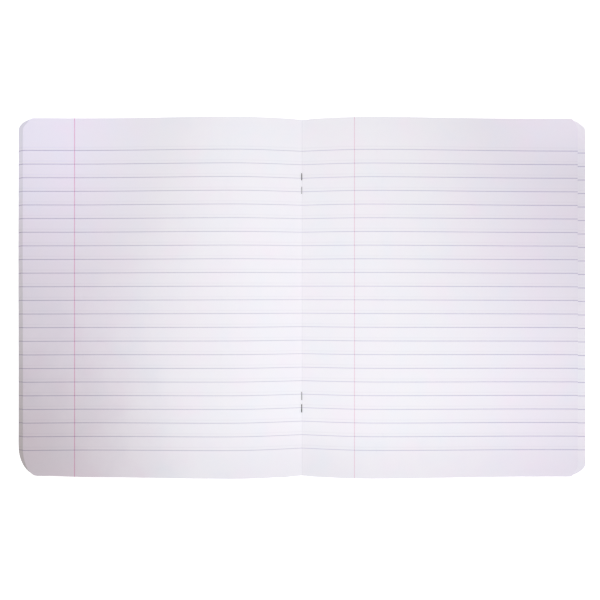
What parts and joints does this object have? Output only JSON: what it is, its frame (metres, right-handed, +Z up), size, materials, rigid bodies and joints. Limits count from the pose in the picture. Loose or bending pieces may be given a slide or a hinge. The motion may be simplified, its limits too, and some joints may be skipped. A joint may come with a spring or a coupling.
{
  "type": "open composition notebook",
  "caption": "Open composition notebook lying face up: two arched halves of ruled leaves, stapled through the fold of a plain soft card cover that closes like a book.",
  "frame": {"origin": "centre of the fold on the table plane, under the spine, at the middle of the page height", "axes": "+X from the fold across the right page, +Y up the pages towards their top edge, +Z up from the table"},
  "size_m": [0.4064, 0.254, 0.0128],
  "materials": {
    "cover_card": "plain dark card, faintly grained, worn a little at the edges",
    "ruled_paper": "smooth white writing paper with grey-blue rules and a pale red margin line",
    "staple_wire": "round drawn steel wire, slightly dull"
  },
  "bodies": {
    "back_half": {"back_cover": "cover_card", "right_pages": "ruled_paper", "upper_staple": "staple_wire", "lower_staple": "staple_wire"},
    "front_half": {"front_cover": "cover_card", "left_pages": "ruled_paper"}
  },
  "joints": [
    {"name": "close_book", "type": "hinge", "parent": "back_half", "child": "front_half", "pos_m": [0, 0, 0.00535], "axis": [0, 1, 0], "range_deg": [0, 179], "deforming": ["left_pages", "right_pages"]}
  ]
}
